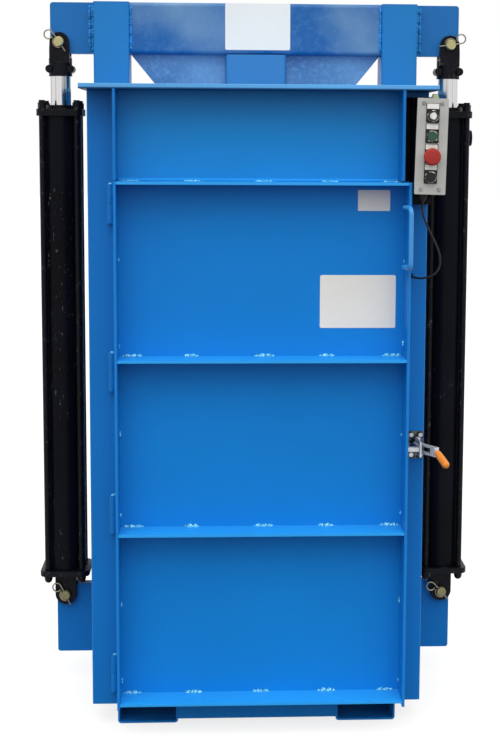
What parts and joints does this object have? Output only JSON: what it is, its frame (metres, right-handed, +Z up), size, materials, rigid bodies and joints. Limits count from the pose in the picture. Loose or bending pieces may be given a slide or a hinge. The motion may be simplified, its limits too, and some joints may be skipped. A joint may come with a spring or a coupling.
{
  "type": "drum crusher",
  "caption": "Upright hydraulic drum crusher: welded frame with hinged, latched door and fork pockets, and a crosshead that two side cylinders pull down onto a platen.",
  "frame": {"origin": "middle of the footprint at floor level, in the plane of the two cylinders", "axes": "+X to the right seen from the door side, +Y to the back, +Z up"},
  "size_m": [1.108, 0.9445, 1.755],
  "materials": {
    "frame_paint": "satin blue enamel",
    "ram_paint": "satin blue enamel, rubbed on the sliding faces",
    "black_paint": "gloss black",
    "rod_chrome": "hard chrome, ground",
    "machined_steel": "turned",
    "yellow_zinc": "yellow zinc plate",
    "clear_zinc": "clear zinc plate",
    "box_grey": "fine light grey enamel",
    "plate_black": "matt",
    "knob_black": "semi-gloss",
    "button_green": "semi-gloss",
    "button_red": "semi-gloss",
    "grip_orange": "smooth",
    "cable_black": "matt",
    "plug_green": "matt",
    "unit_grey": "grey enamel",
    "manifold_alu": "machined"
  },
  "bodies": {
    "frame": {"base_plate": "frame_paint", "base_bars": "frame_paint", "fork_pockets": "frame_paint", "corner_posts": "frame_paint", "guide_columns": "frame_paint", "side_sheets": "frame_paint", "chamber_liners": "frame_paint", "back_sheet": "frame_paint", "top_plate": "frame_paint", "header_panel": "frame_paint", "header_flanges": "frame_paint", "lug_plates": "frame_paint", "frame_knuckles": "frame_paint", "hinge_pins": "machined_steel", "latch_base": "clear_zinc", "cylinder_tubes": "black_paint", "cylinder_heads": "black_paint", "cylinder_caps": "black_paint", "tie_rods": "black_paint", "lower_pins": "yellow_zinc", "lower_clips": "clear_zinc", "control_bracket": "black_paint", "control_box": "black_paint", "control_cover": "box_grey", "cover_screws": "clear_zinc", "legend_plates": "plate_black", "device_bezels": "knob_black", "conduit_plug": "plug_green", "cable_gland": "cable_black", "control_cable": "cable_black", "cable_grommet": "cable_black", "reservoir": "unit_grey", "motor": "unit_grey", "valve_manifold": "manifold_alu", "filler_cap": "knob_black", "level_gauge": "clear_zinc"},
    "door": {"door_sheet": "frame_paint", "door_flanges": "frame_paint", "door_shelves": "frame_paint", "door_knuckles": "frame_paint", "door_handle": "frame_paint", "latch_keeper": "clear_zinc"},
    "lever": {"latch_lever": "clear_zinc", "latch_grip": "grip_orange"},
    "hook": {"latch_hook": "clear_zinc"},
    "crosshead": {"crosshead_beam": "ram_paint", "wing_plates": "ram_paint", "guide_posts": "ram_paint", "ram_tube": "ram_paint", "gusset_plates": "ram_paint", "platen": "ram_paint", "pistons": "machined_steel", "piston_rods": "rod_chrome", "rod_clevises": "black_paint", "upper_pins": "yellow_zinc", "upper_clips": "clear_zinc"},
    "selector": {"selector_knob": "knob_black"},
    "start_button": {"green_button": "button_green"},
    "mushroom": {"stop_button": "button_red"},
    "lower_button": {"black_button": "knob_black"}
  },
  "joints": [
    {"name": "crosshead_lift", "type": "slide", "parent": "frame", "child": "crosshead", "axis": [0, 0, 1], "range_m": [0, 0.94]},
    {"name": "door_swing", "type": "hinge", "parent": "frame", "child": "door", "pos_m": [-0.345, -0.32, 0.69], "axis": [0, 0, -1], "range_deg": [0, 104]},
    {"name": "lever_turn", "type": "hinge", "parent": "frame", "child": "lever", "pos_m": [0.38, -0.341, 0.69], "axis": [0, 0, 1], "range_deg": [0, 100]},
    {"name": "hook_turn", "type": "hinge", "parent": "lever", "child": "hook", "pos_m": [0.38313, -0.32327, 0.69], "axis": [0, 0, 1], "range_deg": [-60, 0]},
    {"name": "selector_turn", "type": "hinge", "parent": "frame", "child": "selector", "pos_m": [0.39417, -0.41, 1.47328], "axis": [0, 1, 0], "range_deg": [-45, 45]},
    {"name": "green_press", "type": "slide", "parent": "frame", "child": "start_button", "axis": [0, 1, 0], "range_m": [0, 0.004], "stiffness_N_per_m": 800, "springref_m": -0.002},
    {"name": "mushroom_press", "type": "slide", "parent": "frame", "child": "mushroom", "axis": [0, 1, 0], "range_m": [0, 0.005]},
    {"name": "black_press", "type": "slide", "parent": "frame", "child": "lower_button", "axis": [0, 1, 0], "range_m": [0, 0.004], "stiffness_N_per_m": 800, "springref_m": -0.002}
  ],
  "couplings": [
    {"joint": "hook_turn", "follows": "lever_turn", "ratio": -0.6}
  ]
}
